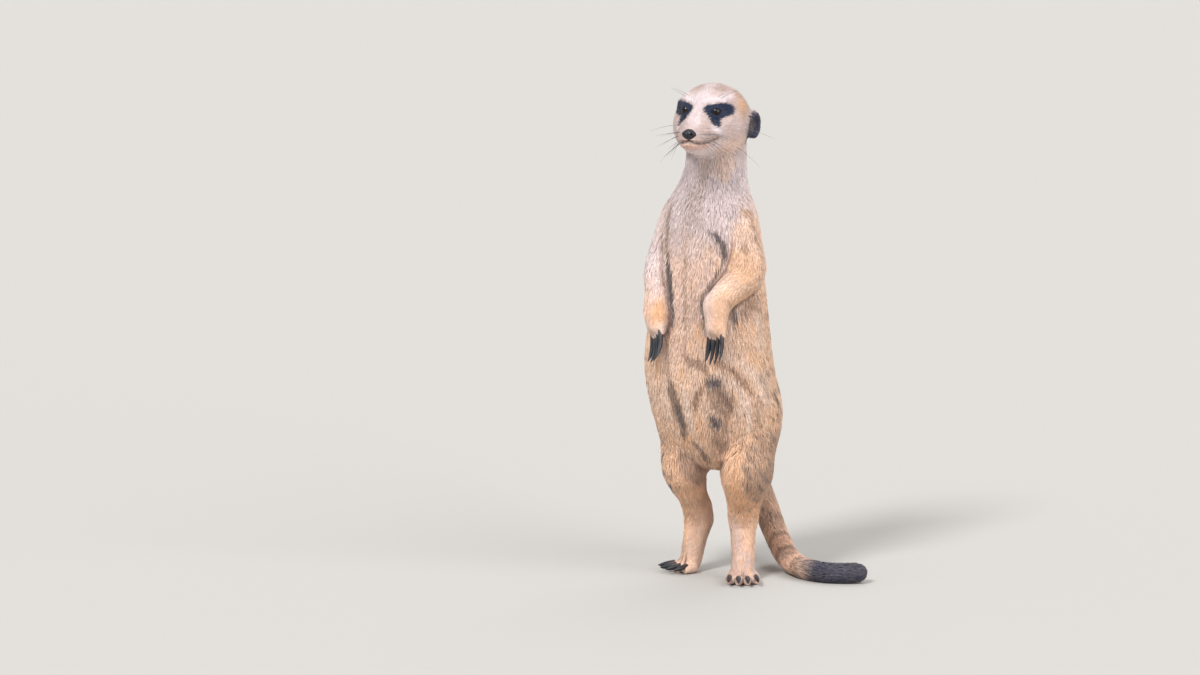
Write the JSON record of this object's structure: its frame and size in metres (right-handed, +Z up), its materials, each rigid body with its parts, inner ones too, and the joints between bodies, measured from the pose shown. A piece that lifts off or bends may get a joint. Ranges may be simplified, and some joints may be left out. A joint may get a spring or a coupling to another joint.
{
  "type": "meerkat",
  "caption": "Meerkat standing upright on its hind legs as a lookout, a forearm held across the belly and the tail laid round beside it as a prop.",
  "frame": {"origin": "on the floor, under the middle of the whole animal's box", "axes": "+Z up; the animal faces -Y, and its left side is +X"},
  "size_m": [0.145, 0.1218, 0.3138],
  "materials": {
    "coat_pale": "short soft fur, pale grey-buff",
    "coat_fawn": "grizzled fawn fur",
    "coat_rust": "orange-tan fur",
    "coat_dark": "blue-black fur",
    "eye": "wet gloss, dark brown",
    "nose_pad": "bare moist skin, fine pebbled",
    "claw_horn": "satin dark horn"
  },
  "bodies": {
    "root": {"head": "coat_pale", "nose": "nose_pad", "neck": "coat_pale", "chest": "coat_pale", "belly": "coat_fawn", "hips": "coat_rust", "tail_root": "coat_rust", "tail_middle": "coat_rust", "tail_lower": "coat_rust", "tail_end": "coat_dark", "eye_left": "eye", "ear_left": "coat_dark", "upper_arm_left": "coat_fawn", "forearm_left": "coat_fawn", "hand_left": "coat_pale", "thigh_left": "coat_rust", "shank_left": "coat_rust", "foot_left": "coat_pale", "claw_hand_left_1": "claw_horn", "claw_hand_left_2": "claw_horn", "claw_hand_left_3": "claw_horn", "claw_hand_left_4": "claw_horn", "claw_foot_left_1": "claw_horn", "claw_foot_left_2": "claw_horn", "claw_foot_left_3": "claw_horn", "claw_foot_left_4": "claw_horn", "eye_right": "eye", "ear_right": "coat_dark", "upper_arm_right": "coat_fawn", "forearm_right": "coat_fawn", "hand_right": "coat_pale", "thigh_right": "coat_rust", "shank_right": "coat_rust", "foot_right": "coat_pale", "claw_hand_right_1": "claw_horn", "claw_hand_right_2": "claw_horn", "claw_hand_right_3": "claw_horn", "claw_hand_right_4": "claw_horn", "claw_foot_right_1": "claw_horn", "claw_foot_right_2": "claw_horn", "claw_foot_right_3": "claw_horn", "claw_foot_right_4": "claw_horn"}
  },
  "joints": []
}
